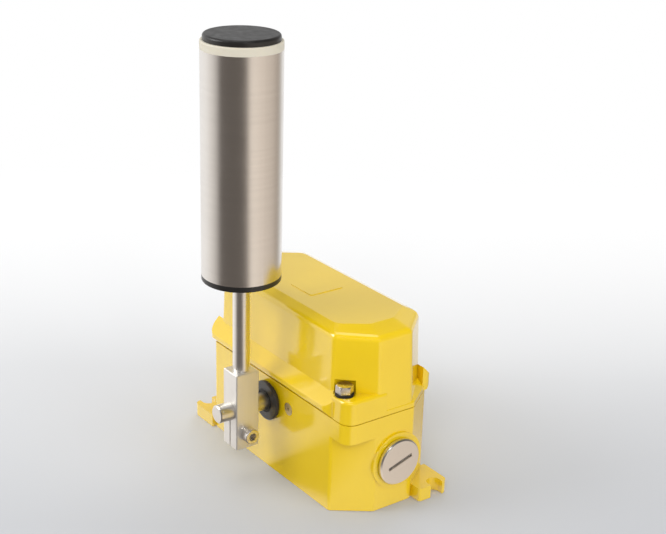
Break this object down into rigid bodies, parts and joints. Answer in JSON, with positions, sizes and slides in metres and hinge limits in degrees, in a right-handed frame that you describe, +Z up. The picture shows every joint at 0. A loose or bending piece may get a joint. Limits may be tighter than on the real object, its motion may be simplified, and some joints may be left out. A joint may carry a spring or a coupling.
{
  "type": "belt misalignment switch",
  "caption": "Yellow cast housing with a sloped cover, feet at opposite corners, and an upright steel roller on a sprung side lever that turns a shaft into it.",
  "frame": {"origin": "middle of the base's underside", "axes": "+Z up from the mounting surface, +X along the housing towards the plugged cable entry, -Y towards the side with the shaft and lever"},
  "size_m": [0.1844, 0.1272, 0.2952],
  "materials": {
    "yellow_paint": "gloss",
    "black_rubber": "matt",
    "black_plastic": "satin",
    "cream_plastic": "satin",
    "grey_plastic": "matt",
    "white_plastic": "matt",
    "ground_steel": "ground",
    "roller_steel": "brushed round the axis",
    "block_steel": "brushed",
    "screw_steel": "zinc plated",
    "sheet_steel": "zinc plated",
    "spring_steel": "drawn wire",
    "bearing_steel": "polished",
    "plug_metal": "satin",
    "bearing_bronze": "turned",
    "terminal_brass": "satin"
  },
  "bodies": {
    "housing": {"housing_base": "yellow_paint", "housing_cover": "yellow_paint", "cover_gasket": "black_rubber", "cover_screws": "screw_steel", "cover_screw_washers": "black_rubber", "cable_entry_plug": "plug_metal", "plug_seal_ring": "black_rubber", "shaft_seal_housing": "black_plastic", "shaft_lip_seal": "black_rubber", "front_bearing_bush": "bearing_bronze", "rear_bearing_bush": "bearing_bronze", "centring_spring": "spring_steel", "spring_anchor_pin": "ground_steel", "warning_switch_body": "black_plastic", "stop_switch_body": "black_plastic", "switch_terminals": "terminal_brass", "switch_bracket": "sheet_steel", "bracket_screws": "screw_steel", "bracket_nuts": "screw_steel", "switch_screws": "screw_steel", "switch_spacers": "screw_steel", "switch_nuts": "screw_steel", "terminal_block": "grey_plastic", "terminal_clamps": "terminal_brass", "terminal_screws": "screw_steel", "terminal_fixing_screws": "screw_steel", "earth_washer": "screw_steel", "earth_screw": "terminal_brass"},
    "lever": {"actuator_shaft": "ground_steel", "shaft_retaining_rings": "spring_steel", "warning_cam": "white_plastic", "stop_cam": "white_plastic", "set_screws": "spring_steel", "spring_driver": "sheet_steel", "lever_clamp_block": "block_steel", "clamp_screw": "screw_steel", "roller_rod": "ground_steel", "rod_retaining_rings": "spring_steel", "lower_bearing_inner_ring": "bearing_steel", "upper_bearing_inner_ring": "bearing_steel"},
    "roller": {"lower_bearing_outer_ring": "bearing_steel", "lower_bearing_balls": "bearing_steel", "upper_bearing_outer_ring": "bearing_steel", "upper_bearing_balls": "bearing_steel", "roller_tube": "roller_steel", "roller_bottom_bush": "black_plastic", "roller_top_bush": "cream_plastic", "roller_top_cap": "black_plastic"},
    "warning_plunger": {"warning_switch_plunger": "white_plastic"},
    "stop_plunger": {"stop_switch_plunger": "white_plastic"}
  },
  "joints": [
    {"name": "lever_swing", "type": "hinge", "parent": "housing", "child": "lever", "pos_m": [0, 0, 0.05], "axis": [0, 1, 0], "range_deg": [-60, 60], "stiffness_Nm_per_rad": 4, "deforming": ["centring_spring"]},
    {"name": "roller_spin", "type": "hinge", "parent": "lever", "child": "roller", "pos_m": [0, -0.06, 0.2153], "axis": [0, 0, 1], "continuous": true},
    {"name": "warning_plunger_press", "type": "slide", "parent": "housing", "child": "warning_plunger", "axis": [1, 0, 0], "range_m": [0, 0.001], "stiffness_N_per_m": 1000, "springref_m": -0.001},
    {"name": "stop_plunger_press", "type": "slide", "parent": "housing", "child": "stop_plunger", "axis": [1, 0, 0], "range_m": [0, 0.001], "stiffness_N_per_m": 1000, "springref_m": -0.001}
  ]
}
